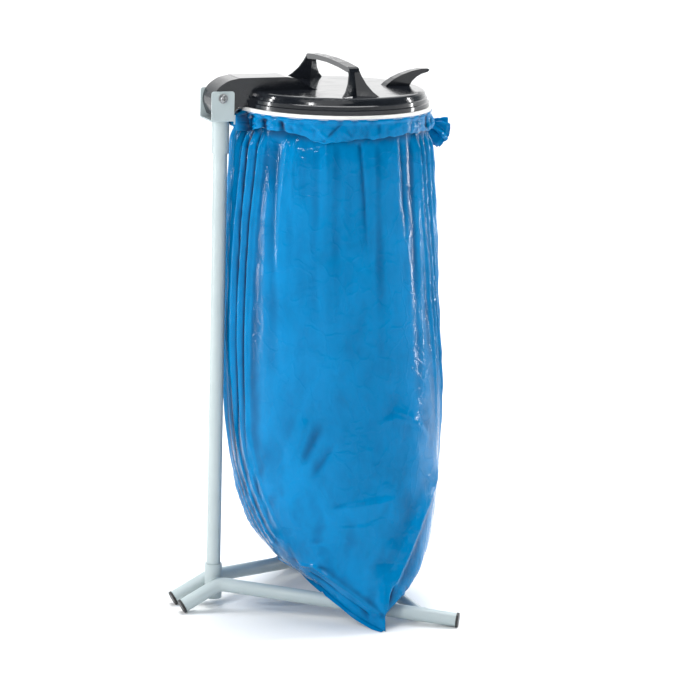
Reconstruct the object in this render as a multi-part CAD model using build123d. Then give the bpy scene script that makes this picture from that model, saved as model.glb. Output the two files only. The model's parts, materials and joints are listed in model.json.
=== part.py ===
# Free-standing sack holder: a welded four-footed tube base, an upright post, a hinged-lid head with
# a hoop, a white clamp ring that grips the sack film over the hoop, and the hanging film sack.
#
# Working frame while building: the post axis is X = Y = 0 and the floor is z = 0. The hoop is on the
# +X side of the post, and the holder is symmetrical about Y = 0. At the end every piece is moved so
# that the origin is the middle of the bounding box, on the floor.
from build123d import *
import math
import os

# ------------------------------------------------------------------ driving dimensions (mm)
tube_r = 14.0            # all round tube is 28 mm
tube_wall = 1.5
leg_side = 30.3          # leg tube axis to the middle plane, beside the socket
leg_bend_z = 53.3        # height of the leg axis at its bend
leg_foot_z = 14.0        # height of the leg axis at its open ends
leg_bend_r = 34.0
leg_bend_x = 3.0
short_leg_x = -72.0      # end of the short legs
long_leg_len = 481.0     # plan length of a long leg from bend to end
long_leg_splay = 30.44   # degrees
cross_at = 0.862         # cross tube, as a share of the long leg
cap_r = 15.0
cap_t = 5.0
socket_r = 17.25
socket_bore = 14.08
socket_z0, socket_z1 = 18.0, 89.0
post_z0, post_z1 = 21.0, 984.0
sleeve_z0 = 921.0
bracket_x0, bracket_x1 = -31.0, 15.4
bracket_y = 36.0         # outer faces of the two ears
sheet_t = 3.0
web_z0 = 988.0
ear_top = 1047.3
hinge_x, hinge_z = -7.75, 1033.5
bolt_r = 4.0
bolt_hole_r = 4.2
spacer_r = 6.0
lid_bore_r = 6.08
ring_x = 232.7           # centre of hoop, clamp ring, lid and sack mouth
hoop_r = 190.0
hoop_t = 3.0
hoop_z0, hoop_z1 = 981.0, 1008.0
film_t = 2.0
clamp_top = 1015.1
lid_base_z = 1015.5
lid_r = 191.0
lid_top_z = 1047.0
lid_t = 2.8
arm_y = 32.0             # half width of the lid's hinge arm
arm_top_z = 1072.5
handle_foot_y = 163.0
handle_foot_half_x = 38.0
handle_x = 230.0
grip_half = 10.5
grip_top = 1100.0
grip_mid_top = 1105.0

parts = {}


def tube_between(points, radius, r_out, r_in=None):
    """Round tube along straight runs joined by tangent arcs; closed bar when r_in is None."""
    if len(points) == 2:
        path = Line(points[0], points[1])
    else:
        path = FilletPolyline(*points, radius=radius)
    start = Vector(*points[0])
    way = (Vector(*points[1]) - start).normalized()
    plane = Plane(origin=start, z_dir=way)
    solid = sweep(plane * Circle(r_out), path=path)
    if r_in:
        solid = solid - sweep(plane * Circle(r_in), path=path)
    return solid


def rod(start, end, r):
    a, b = Vector(*start), Vector(*end)
    way = b - a
    return extrude(Plane(origin=a, z_dir=way.normalized()) * Circle(r), amount=way.length)


def slab(x0, x1, y0, y1, z0, z1):
    return Pos((x0 + x1) / 2, (y0 + y1) / 2, (z0 + z1) / 2) * Box(x1 - x0, y1 - y0, z1 - z0)


def ring(r_out, r_in, z0, z1, cx=0.0, cy=0.0):
    h = z1 - z0
    body = Cylinder(r_out, h) - Cylinder(r_in, h + 2)
    return Pos(cx, cy, (z0 + z1) / 2) * body


def mirror_y(shape):
    return mirror(shape, about=Plane.XZ)


def lathe(profile, cx):
    """Revolve an (r, z) polygon about the vertical axis through (cx, 0)."""
    wire = Polyline(*[(r, 0, z) for r, z in profile], close=True)
    return Pos(cx, 0, 0) * revolve(make_face(wire), axis=Axis.Z, revolution_arc=360)


def xz_prism(points, y0, y1, close_line=True):
    """Extrude an (x, z) outline from y0 to y1."""
    face = make_face(Polyline(*[(x, 0, z) for x, z in points], close=close_line))
    solid = extrude(face, amount=1.0, dir=(0, 1, 0))
    box = solid.bounding_box()
    return Pos(0, y0, 0) * extrude(face, amount=y1 - y0, dir=(0, 1, 0))


# ------------------------------------------------------------------ base
splay = math.radians(long_leg_splay)
leg_pts = [
    (short_leg_x, -leg_side, leg_foot_z),
    (leg_bend_x, -leg_side, leg_bend_z),
    (leg_bend_x + long_leg_len * math.cos(splay), -leg_side - long_leg_len * math.sin(splay), leg_foot_z),
]
front_leg = tube_between(leg_pts, leg_bend_r, tube_r, tube_r - tube_wall)
parts["front_leg_tube"] = front_leg
parts["rear_leg_tube"] = mirror_y(front_leg)


def leg_cap(end, inner):
    """Push-in end cap: a disc with a ground sole, and a ribbed spigot inside the tube."""
    a, b = Vector(*end), Vector(*inner)
    out = (a - b).normalized()
    disc = rod(tuple(a + out * 0.05), tuple(a + out * cap_t), cap_r)
    edge = disc.edges().filter_by(GeomType.CIRCLE).sort_by(lambda e: (e.center() - b).length)[-1]
    disc = fillet(edge, 1.4)
    spigot = rod(tuple(a - out * 16.0), tuple(a + out * 1.0), tube_r - tube_wall - 0.9)
    cap = disc + spigot
    for back in (4.0, 9.0, 14.0):
        cap = cap + rod(tuple(a - out * back), tuple(a - out * (back - 1.6)), tube_r - tube_wall - 0.05)
    return cap - slab(-400, 800, -600, 600, -30, 0)


cap_short = leg_cap(leg_pts[0], leg_pts[1])
cap_long = leg_cap(leg_pts[2], leg_pts[1])
parts["leg_cap_front_short"] = cap_short
parts["leg_cap_front_long"] = cap_long
parts["leg_cap_rear_short"] = mirror_y(cap_short)
parts["leg_cap_rear_long"] = mirror_y(cap_long)

# cross tube between the long legs, notched round both of them
cx_ = [leg_pts[1][i] + (leg_pts[2][i] - leg_pts[1][i]) * cross_at for i in range(3)]
cross_r = 11.0
cross = rod((cx_[0], cx_[1], cx_[2]), (cx_[0], -cx_[1], cx_[2]), cross_r)
cross = cross - rod((cx_[0], cx_[1] - 10, cx_[2]), (cx_[0], -cx_[1] + 10, cx_[2]), cross_r - 1.5)
for s in (1, -1):
    cross = cross - rod((leg_pts[1][0], s * leg_pts[1][1], leg_pts[1][2]),
                        (leg_pts[2][0], s * leg_pts[2][1], leg_pts[2][2]), tube_r + 0.02)
parts["cross_tube"] = cross.solids().sort_by(lambda q: q.volume)[-1]

# socket for the post, with a welded floor disc
parts["post_socket"] = ring(socket_r, socket_bore, socket_z0 + 3.0, socket_z1)
parts["socket_floor"] = Pos(0, 0, socket_z0 + 1.5) * Cylinder(socket_r, 3.0)

# ------------------------------------------------------------------ post and head
parts["post_tube"] = ring(tube_r, tube_r - tube_wall, post_z0, post_z1)
parts["head_sleeve"] = ring(socket_r - 0.25, socket_bore, sleeve_z0, web_z0)

bracket = slab(bracket_x0, bracket_x1, -bracket_y, bracket_y, web_z0, ear_top)
inner = slab(bracket_x0 - 5, bracket_x1 + 5, -bracket_y + sheet_t, bracket_y - sheet_t,
             web_z0 + sheet_t, ear_top + 5)
bracket = bracket - inner
corner = bracket.edges().filter_by(Axis.Y).filter_by(lambda e: e.center().Z > ear_top - 1)
bracket = fillet(corner, 5.0)
fold = bracket.edges().filter_by(Axis.X).filter_by(
    lambda e: e.center().Z < web_z0 + 0.5 and abs(abs(e.center().Y) - bracket_y) < 0.5)
bracket = fillet(fold, 3.5)
fold_in = bracket.edges().filter_by(Axis.X).filter_by(
    lambda e: abs(e.center().Z - (web_z0 + sheet_t)) < 0.5
    and abs(abs(e.center().Y) - (bracket_y - sheet_t)) < 0.5)
bracket = fillet(fold_in, 1.2)
bracket = bracket - rod((hinge_x, -60, hinge_z), (hinge_x, 60, hinge_z), bolt_hole_r)
parts["hinge_bracket"] = bracket

# flat bars that carry the hoop from the two ears
bar = slab(bracket_x1, bracket_x1 + 34, -bracket_y, -bracket_y + sheet_t, 982.5, 1000.5)
bar = bar - Pos(ring_x, 0, 990) * Cylinder(hoop_r, 60)
bar = bar.solids().sort_by(lambda q: q.center().X)[0]
parts["hoop_bar_front"] = bar
parts["hoop_bar_rear"] = mirror_y(bar)
parts["hoop_band"] = ring(hoop_r, hoop_r - hoop_t, hoop_z0, hoop_z1, ring_x)

# white U-section ring that grips the film over the top edge of the hoop
c_top, c_out, c_in, c_t = clamp_top, hoop_r + 6.4, hoop_r - 9.6, 2.2
parts["clamp_ring"] = lathe([
    (c_in, c_top - 8.4), (c_in, c_top - 1.2), (c_in + 1.2, c_top), (c_out - 1.2, c_top),
    (c_out, c_top - 1.2), (c_out, c_top - 8.4), (c_out - c_t, c_top - 8.4),
    (c_out - c_t, c_top - c_t), (c_in + c_t, c_top - c_t), (c_in + c_t, c_top - 8.4),
], ring_x)

# ------------------------------------------------------------------ sack
# outer sections of the hanging body: z, centre x, half size in x, half size in y
sections = [
    (1010.8, 232.7, 186.4, 186.4),
    (972.0, 232.7, 186.4, 186.4),
    (930.0, 233.0, 191.5, 192.0),
    (800.0, 234.5, 199.0, 199.0),
    (700.0, 237.5, 204.0, 206.0),
    (600.0, 241.0, 208.0, 213.0),
    (500.0, 245.5, 211.0, 220.0),
    (400.0, 250.0, 212.0, 227.0),
    (310.0, 254.0, 208.0, 234.0),
    (230.0, 260.0, 197.0, 240.0),
    (165.0, 267.0, 180.0, 245.0),
    (115.0, 274.0, 157.0, 247.0),
    (85.0, 276.0, 132.0, 246.0),
    (70.0, 276.0, 108.0, 244.0),
]


def loft_sections(rows, shrink=0.0):
    """Smooth-edged hanging form: straight walls between neighbouring oval sections."""
    body = None
    for low, high in zip(rows[1:], rows[:-1]):
        faces = [Pos(r[1], 0, r[0]) * Ellipse(r[2] - shrink, r[3] - shrink) for r in (low, high)]
        piece = loft(faces, ruled=True)
        body = piece if body is None else body + piece
    return body


outer = loft_sections(sections)
cavity = loft_sections([(1014.0, 232.7, 186.4, 186.4)] + sections[:-1]
                       + [(73.0, 276.0, 112.0, 244.3)], film_t)
sack = outer - cavity
# the two corners of the bottom seam drape over the long legs and reach the floor outside them
corner_root = Pos(0, 0, 72.0) * make_face(Polyline(
    (205, -158), (330, -196), (300, -232), (240, -228), close=True))
corner_tip = Pos(0, 0, 1.2) * make_face(Polyline(
    (258, -266), (276, -268), (274, -276), (260, -275), close=True))
flap = loft([corner_tip, corner_root], ruled=True)
sack = sack + flap + mirror_y(flap)
# cuff folded down outside the hoop, joined over its top edge
r_film = hoop_r + 0.8
cuff = ring(r_film + film_t, r_film, 962.0, 1010.8, ring_x)
cuff = cuff + ring(r_film + film_t, 186.4 - film_t, 1008.8, 1010.8, ring_x)
cuff = cuff - slab(-40, 62, -44, 44, 950, 1004.5)
sack = sack + cuff
# gathered tail of spare film on the side away from the post
tail = Pos(445, -4, 966) * Rotation(0, 38, 0) * scale(Sphere(20), by=(1.0, 1.15, 2.0))
tail = tail - Pos(ring_x, 0, 960) * Cylinder(r_film + 0.6, 200)
sack = sack + tail
parts["sack"] = sack

# ------------------------------------------------------------------ lid moulding
r0 = lid_r
lid = lathe([
    (r0 - lid_t, lid_base_z), (r0, lid_base_z), (r0, lid_base_z + 8.0), (r0 - 3.2, lid_base_z + 9.6),
    (r0 - 3.6, lid_base_z + 16.4), (r0 - 6.6, lid_base_z + 18.0), (r0 - 7.6, lid_top_z - 9.0),
    (r0 - 9.2, lid_top_z - 4.6), (r0 - 12.2, lid_top_z - 1.6), (r0 - 16.2, lid_top_z - 0.3),
    (r0 - 20.0, lid_top_z),
    (0.0, lid_top_z + 0.0), (0.0, lid_top_z - lid_t),
    (r0 - 20.0, lid_top_z - lid_t), (r0 - 15.6, lid_top_z - lid_t - 0.8), (r0 - 12.0, lid_top_z - 7.4),
    (r0 - 10.6, lid_base_z + 17.0), (r0 - 6.6, lid_base_z + 15.0), (r0 - 6.2, lid_base_z + 8.0),
    (r0 - lid_t, lid_base_z + 6.6),
], ring_x)

arm_top = [(-27.0, 1019.0), (-27.6, 1027.0), (-26.0, 1037.0), (-21.0, 1047.5), (-13.0, 1056.5),
           (-3.0, 1063.3), (9.0, 1068.6), (24.0, 1071.6), (45.0, arm_top_z)]
arm_run = [(122.0, arm_top_z), (136.0, 1070.8), (150.0, 1066.0), (163.0, 1058.5), (176.0, 1051.0),
           (190.0, lid_top_z)]
top_curve = Spline(*[(x, 0, z) for x, z in arm_top], tangents=[(-0.12, 0, 1), (1, 0, 0)])
flat = Line((45.0, 0, arm_top_z), (122.0, 0, arm_top_z))
run_curve = Spline(*[(x, 0, z) for x, z in arm_run], tangents=[(1, 0, 0), (1, 0, -0.12)])
under = Polyline((190.0, 0, lid_top_z), (190.0, 0, lid_top_z - lid_t), (64.0, 0, lid_top_z - lid_t),
                 (64.0, 0, lid_base_z + 12), (46.5, 0, lid_base_z + 0.2), (24.0, 0, lid_base_z + 0.2),
                 (16.0, 0, 1003.0), (5.0, 0, 996.5), (-8.0, 0, 994.8), (-19.0, 0, 997.0),
                 (-23.6, 0, 1008.0), (-27.0, 0, 1019.0))
arm_face = make_face(Curve() + [top_curve, flat, run_curve, under])
arm = Pos(0, -arm_y, 0) * extrude(arm_face, amount=2 * arm_y, dir=(0, 1, 0))
if arm.bounding_box().center().Y > 1:
    arm = Pos(0, -arm.bounding_box().center().Y, 0) * arm
# hollow of the arm, open downwards in front of the lid wall and into the lid behind it
in_top = [(-10.0, 980.0), (-15.8, 996.0), (-20.4, 1008.0), (-24.0, 1019.5), (-24.5, 1027.0), (-22.8, 1036.0), (-18.2, 1045.8), (-11.0, 1053.9),
          (-1.6, 1060.4), (10.2, 1065.6), (24.6, 1068.6), (45.0, arm_top_z - 3)]
hollow = xz_prism(in_top + [(122.0, arm_top_z - 3), (135.0, 1068.0), (148.6, 1063.2), (161.4, 1055.8),
                            (174.5, 1048.2), (181.0, 1040.0), (64.0, 1040.0), (64.0, 1046.0),
                            (41.5, 1042.0), (41.5, 1012.0), (34.0, 980.0)], -arm_y + 3, arm_y - 3)
arm = arm - hollow
slot = slab(66.0, 178.0, -arm_y + 3, arm_y - 3, 1038, 1060)
lid_body = (lid - slot) + arm
lid_body = lid_body - hollow.intersect(slab(60, 185, -60, 60, 1030, 1080))
# clear everything inside the lid wall where the arm crosses it
for s in (1, -1):
    lid_body = lid_body + rod((hinge_x, s * (arm_y - 12.0), hinge_z), (hinge_x, s * (arm_y - 1.0), hinge_z), 10.0)
lid_body = lid_body - rod((hinge_x, -60, hinge_z), (hinge_x, 60, hinge_z), lid_bore_r)

# finger tab: a curved horn that rises from the far side of the top, hollow underneath
tab_up = [(338.0, lid_top_z - 1.0), (345.0, 1052.5), (359.0, 1062.0), (376.0, 1069.7), (397.0, 1076.2),
          (416.0, 1079.6), (431.0, 1079.8), (435.0, 1077.0)]
tab_down = [(431.0, 1073.2), (417.0, 1069.4), (406.0, 1063.6), (397.5, 1056.0), (391.0, lid_top_z - 1.0)]
tab = xz_prism(tab_up + tab_down, -14, 14)
plan = make_face(Polyline((330, -13.5, 0), (436, -8.0, 0), (436, 8.0, 0), (330, 13.5, 0), close=True))
tab = tab.intersect(Pos(0, 0, 1030) * extrude(plan, amount=70))
tab_hollow = xz_prism([(352.0, 1040.0), (362.0, 1059.0), (378.0, 1066.3), (398.0, 1072.6), (412.0, 1074.8),
                       (412.0, 1060.0), (401.0, 1052.0), (396.0, 1040.0)], -8.0, 8.0)
tab = tab - tab_hollow
lid_body = lid_body + tab
# screw holes for the handle
for s in (1, -1):
    lid_body = lid_body - rod((handle_x, s * 131.0, 1030), (handle_x, s * 131.0, 1060), 2.4)
parts["lid_shell"] = lid_body


# ------------------------------------------------------------------ handle
def chevron(z, half_x, y_tip, y_out, y_in, t):
    return make_face(Polyline(
        (handle_x - half_x, -y_tip, z), (handle_x, -y_out, z), (handle_x + half_x, -y_tip, z),
        (handle_x + half_x, -(y_tip - t), z), (handle_x, -y_in, z),
        (handle_x - half_x, -(y_tip - t), z), close=True))


z_f = lid_top_z + 0.05
leg = loft([
    chevron(z_f, handle_foot_half_x, handle_foot_y, 140.0, 124.5, 4.0),
    chevron(z_f + 9.0, 28.0, 153.5, 137.0, 121.5, 4.4),
    chevron(z_f + 22.0, 19.0, 142.0, 132.0, 118.5, 5.0),
    chevron(z_f + 36.0, 13.0, 131.5, 127.0, 115.5, 6.0),
    chevron(z_f + 46.0, grip_half, 124.5, 123.5, 113.5, 8.0),
], ruled=True)
arch_top = [(-125.0, grip_top - 9.0), (-120.5, grip_top - 2.2), (-112.0, grip_top + 0.2), (-60.0, grip_top + 3.6),
            (0.0, grip_mid_top), (60.0, grip_top + 3.6), (112.0, grip_top + 0.2), (120.5, grip_top - 2.2),
            (125.0, grip_top - 9.0)]
arch_low = [(112.0, grip_top - 10.5), (60.0, grip_top - 6.4), (0.0, grip_mid_top - 9.6), (-60.0, grip_top - 6.4),
            (-112.0, grip_top - 10.5)]
grip_face = make_face(Polyline(*[(0, y, z) for y, z in arch_top + arch_low], close=True))
grip = Pos(handle_x - grip_half, 0, 0) * extrude(grip_face, amount=2 * grip_half, dir=(1, 0, 0))
handle = grip + leg + mirror_y(leg)
# grooves along the top of the grip
for k in (-2, -1, 0, 1, 2):
    g = make_face(Polyline(*[(0, y, z - 0.9) for y, z in arch_top[2:7]] + [(0, 112, grip_top + 12), (0, -112, grip_top + 12)],
                           close=True))
    handle = handle - Pos(handle_x + k * 3.6 - 0.6, 0, 0) * extrude(g, amount=1.2, dir=(1, 0, 0))
for s in (1, -1):
    handle = handle - rod((handle_x, s * 131.0, 1040), (handle_x, s * 131.0, z_f + 15.0), 2.06)
parts["lid_handle"] = handle

screws = None
for s in (1, -1):
    head = rod((handle_x, s * 131.0, lid_top_z - lid_t - 2.6), (handle_x, s * 131.0, lid_top_z - lid_t - 0.05), 4.5)
    shank = rod((handle_x, s * 131.0, lid_top_z - lid_t - 1.0), (handle_x, s * 131.0, z_f + 14.0), 2.0)
    one = head + shank
    screws = one if screws is None else screws + one
parts["handle_screws"] = screws

# ------------------------------------------------------------------ hinge hardware
parts["hinge_spacer"] = (rod((hinge_x, -bracket_y + sheet_t + 0.05, hinge_z), (hinge_x, bracket_y - sheet_t - 0.05, hinge_z), spacer_r)
                         - rod((hinge_x, -60, hinge_z), (hinge_x, 60, hinge_z), bolt_hole_r))
washers = None
for s in (1, -1):
    w = (rod((hinge_x, s * (bracket_y + 0.05), hinge_z), (hinge_x, s * (bracket_y + 1.65), hinge_z), 9.5)
         - rod((hinge_x, -80, hinge_z), (hinge_x, 80, hinge_z), bolt_hole_r))
    washers = w if washers is None else washers + w
parts["hinge_washers"] = washers
head = rod((hinge_x, -bracket_y - 1.7, hinge_z), (hinge_x, -bracket_y - 7.0, hinge_z), 7.4)
rim = head.edges().filter_by(GeomType.CIRCLE).sort_by(Axis.Y)[0]
head = fillet(rim, 3.0)
slot_a = slab(hinge_x - 4.0, hinge_x + 4.0, -bracket_y - 8, -bracket_y - 4.2, hinge_z - 0.8, hinge_z + 0.8)
slot_b = slab(hinge_x - 0.8, hinge_x + 0.8, -bracket_y - 8, -bracket_y - 4.2, hinge_z - 4.0, hinge_z + 4.0)
bolt = head + rod((hinge_x, -bracket_y - 3.0, hinge_z), (hinge_x, bracket_y + 11.0, hinge_z), bolt_r)
parts["hinge_bolt"] = bolt - slot_a - slot_b
hexa = extrude(Plane(origin=(hinge_x, bracket_y + 1.7, hinge_z), z_dir=(0, 1, 0)) * RegularPolygon(7.5, 6), amount=7.5)
parts["hinge_nut"] = hexa - rod((hinge_x, 0, hinge_z), (hinge_x, 80, hinge_z), bolt_r + 0.06)

# ------------------------------------------------------------------ origin and export
lo = [1e9] * 3
hi = [-1e9] * 3
for shape in parts.values():
    b = shape.bounding_box()
    for i, (u, v) in enumerate(((b.min.X, b.max.X), (b.min.Y, b.max.Y), (b.min.Z, b.max.Z))):
        lo[i] = min(lo[i], u)
        hi[i] = max(hi[i], v)
shift_x = round(-(lo[0] + hi[0]) / 2, 3)
shift_z = round(-lo[2], 3)
print("box", [round(v, 2) for v in lo], [round(v, 2) for v in hi], "shift", shift_x, shift_z)
os.makedirs("parts", exist_ok=True)
for name, shape in parts.items():
    moved = Pos(shift_x, 0, shift_z) * shape
    solids = moved.solids()
    out = solids[0] if len(solids) == 1 else Compound(children=list(solids))
    export_step(out, f"parts/{name}.step")
    print(name, len(solids), round(sum(s.volume for s in solids)))
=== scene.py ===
import json
import math

import bmesh
import bpy
import numpy as np
from mathutils import Matrix, Vector, noise


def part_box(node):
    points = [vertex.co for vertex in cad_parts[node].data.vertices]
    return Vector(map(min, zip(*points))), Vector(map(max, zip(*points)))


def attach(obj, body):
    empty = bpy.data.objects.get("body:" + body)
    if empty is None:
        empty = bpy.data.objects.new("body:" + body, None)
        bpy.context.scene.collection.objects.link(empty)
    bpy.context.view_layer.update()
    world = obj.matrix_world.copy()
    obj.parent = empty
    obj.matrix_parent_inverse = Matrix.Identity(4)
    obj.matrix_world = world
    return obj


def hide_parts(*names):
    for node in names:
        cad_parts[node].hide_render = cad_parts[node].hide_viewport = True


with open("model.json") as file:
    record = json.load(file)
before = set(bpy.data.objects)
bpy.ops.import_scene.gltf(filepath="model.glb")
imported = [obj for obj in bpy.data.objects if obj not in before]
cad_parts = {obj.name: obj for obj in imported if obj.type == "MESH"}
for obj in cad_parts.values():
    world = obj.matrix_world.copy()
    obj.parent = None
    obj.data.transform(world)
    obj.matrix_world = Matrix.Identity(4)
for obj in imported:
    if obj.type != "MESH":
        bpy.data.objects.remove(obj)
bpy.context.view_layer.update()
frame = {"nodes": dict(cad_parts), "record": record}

nodes = frame["nodes"]
scene = bpy.context.scene

# ---------------------------------------------------------------- places, in metres
lo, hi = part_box("post_tube")
POST_X = (lo.x + hi.x) / 2
lo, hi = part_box("hoop_band")
RING_X = (lo.x + hi.x) / 2
HOOP_R = (hi.x - lo.x) / 2
HOOP_TOP, HOOP_LOW = hi.z, lo.z
lo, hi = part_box("hinge_spacer")
PIN_X, PIN_Z = (lo.x + hi.x) / 2, (lo.z + hi.z) / 2
lo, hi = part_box("clamp_ring")
CLAMP_TOP, CLAMP_LOW, CLAMP_R = hi.z, lo.z, (hi.x - lo.x) / 2


# ---------------------------------------------------------------- node helpers
def new_material(name, slot_name=None):
    m = bpy.data.materials.new(name)
    m.use_nodes = True
    m.node_tree.nodes.clear()
    out = m.node_tree.nodes.new("ShaderNodeOutputMaterial")
    bsdf = m.node_tree.nodes.new("ShaderNodeBsdfPrincipled")
    m.node_tree.links.new(bsdf.outputs["BSDF"], out.inputs["Surface"])
    return m, m.node_tree, bsdf


def put(tree, kind, **sockets):
    n = tree.nodes.new(kind)
    for k, v in sockets.items():
        n.inputs[k].default_value = v
    return n


def coords(tree, scale=(1, 1, 1), rotation=(0, 0, 0)):
    tc = tree.nodes.new("ShaderNodeTexCoord")
    mp = tree.nodes.new("ShaderNodeMapping")
    mp.inputs["Scale"].default_value = scale
    mp.inputs["Rotation"].default_value = rotation
    tree.links.new(tc.outputs["Object"], mp.inputs["Vector"])
    return mp.outputs["Vector"]


def noise_tex(tree, vec, scale, detail=2.0, rough=0.5, distortion=0.0):
    n = tree.nodes.new("ShaderNodeTexNoise")
    n.inputs["Scale"].default_value = scale
    n.inputs["Detail"].default_value = detail
    n.inputs["Roughness"].default_value = rough
    n.inputs["Distortion"].default_value = distortion
    tree.links.new(vec, n.inputs["Vector"])
    return n.outputs["Fac"]


def ramp(tree, fac, stops):
    r = tree.nodes.new("ShaderNodeValToRGB")
    els = r.color_ramp.elements
    while len(els) < len(stops):
        els.new(0.5)
    for e, (pos, col) in zip(els, stops):
        e.position = pos
        e.color = (*col, 1.0) if len(col) == 3 else col
    tree.links.new(fac, r.inputs["Fac"])
    return r.outputs["Color"]


def maprange(tree, fac, a, b, c, d):
    n = tree.nodes.new("ShaderNodeMapRange")
    n.inputs["From Min"].default_value = a
    n.inputs["From Max"].default_value = b
    n.inputs["To Min"].default_value = c
    n.inputs["To Max"].default_value = d
    tree.links.new(fac, n.inputs["Value"])
    return n.outputs["Result"]


def math_node(tree, op, a, b):
    n = tree.nodes.new("ShaderNodeMath")
    n.operation = op
    for i, v in enumerate((a, b)):
        if isinstance(v, (int, float)):
            n.inputs[i].default_value = v
        else:
            tree.links.new(v, n.inputs[i])
    return n.outputs[0]


def bump(tree, height, strength, distance, normal=None):
    b = tree.nodes.new("ShaderNodeBump")
    b.inputs["Strength"].default_value = strength
    b.inputs["Distance"].default_value = distance
    tree.links.new(height, b.inputs["Height"])
    if normal is not None:
        tree.links.new(normal, b.inputs["Normal"])
    return b.outputs["Normal"]


# ---------------------------------------------------------------- materials
def powder_coat():
    m, t, p = new_material("powder_coat_grey")
    v = coords(t)
    tone = noise_tex(t, v, 9.0, 3.0, 0.55)
    t.links.new(ramp(t, tone, [(0.3, (0.395, 0.465, 0.480)), (0.7, (0.455, 0.525, 0.535))]), p.inputs["Base Color"])
    peel = noise_tex(t, v, 900.0, 2.0, 0.5)
    speck = noise_tex(t, v, 260.0, 2.0, 0.6)
    t.links.new(maprange(t, speck, 0.3, 0.7, 0.30, 0.42), p.inputs["Roughness"])
    h = math_node(t, "ADD", peel, math_node(t, "MULTIPLY", speck, 0.7))
    t.links.new(bump(t, h, 0.35, 0.00025), p.inputs["Normal"])
    p.inputs["Coat Weight"].default_value = 0.15
    p.inputs["Coat Roughness"].default_value = 0.25
    return m


def lid_black():
    m, t, p = new_material("lid_black_gloss")
    v = coords(t)
    tone = noise_tex(t, v, 14.0, 4.0, 0.6)
    t.links.new(ramp(t, tone, [(0.25, (0.006, 0.007, 0.010)), (0.75, (0.013, 0.015, 0.019))]), p.inputs["Base Color"])
    smudge = noise_tex(t, v, 22.0, 5.0, 0.65)
    streak = noise_tex(t, coords(t, (1.0, 26.0, 1.0), (0, 0, 0.15)), 16.0, 3.0, 0.6)
    r = math_node(t, "ADD", maprange(t, smudge, 0.3, 0.75, 0.07, 0.17), maprange(t, streak, 0.45, 0.75, 0.0, 0.09))
    t.links.new(r, p.inputs["Roughness"])
    wave = noise_tex(t, v, 26.0, 1.0, 0.4)
    fine = noise_tex(t, v, 700.0, 2.0, 0.5)
    n1 = bump(t, wave, 0.25, 0.0008)
    t.links.new(bump(t, math_node(t, "ADD", fine, math_node(t, "MULTIPLY", streak, 1.6)), 0.10, 0.00015, n1), p.inputs["Normal"])
    p.inputs["IOR"].default_value = 1.52
    return m


def cap_black():
    m, t, p = new_material("cap_black_plastic")
    v = coords(t)
    tone = noise_tex(t, v, 60.0, 3.0, 0.6)
    t.links.new(ramp(t, tone, [(0.3, (0.010, 0.010, 0.011)), (0.75, (0.030, 0.029, 0.028))]), p.inputs["Base Color"])
    t.links.new(maprange(t, tone, 0.3, 0.7, 0.38, 0.58), p.inputs["Roughness"])
    t.links.new(bump(t, noise_tex(t, v, 1200.0, 2.0, 0.6), 0.4, 0.0002), p.inputs["Normal"])
    return m


def clamp_white():
    m, t, p = new_material("clamp_ring_white")
    v = coords(t)
    tone = noise_tex(t, v, 30.0, 4.0, 0.6)
    t.links.new(ramp(t, tone, [(0.25, (0.72, 0.71, 0.68)), (0.75, (0.86, 0.85, 0.83))]), p.inputs["Base Color"])
    t.links.new(maprange(t, noise_tex(t, v, 180.0, 3.0, 0.6), 0.3, 0.7, 0.32, 0.5), p.inputs["Roughness"])
    t.links.new(bump(t, noise_tex(t, v, 420.0, 2.0, 0.5), 0.25, 0.0002), p.inputs["Normal"])
    p.inputs["Subsurface Weight"].default_value = 0.06
    p.inputs["Subsurface Radius"].default_value = (0.004, 0.004, 0.004)
    return m


def zinc():
    m, t, p = new_material("zinc_plated")
    v = coords(t)
    tone = noise_tex(t, v, 240.0, 4.0, 0.65)
    t.links.new(ramp(t, tone, [(0.3, (0.20, 0.21, 0.22)), (0.7, (0.46, 0.47, 0.48))]), p.inputs["Base Color"])
    p.inputs["Metallic"].default_value = 1.0
    t.links.new(maprange(t, tone, 0.3, 0.7, 0.22, 0.42), p.inputs["Roughness"])
    t.links.new(bump(t, noise_tex(t, v, 1500.0, 2.0, 0.6), 0.3, 0.0001), p.inputs["Normal"])
    return m


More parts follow.
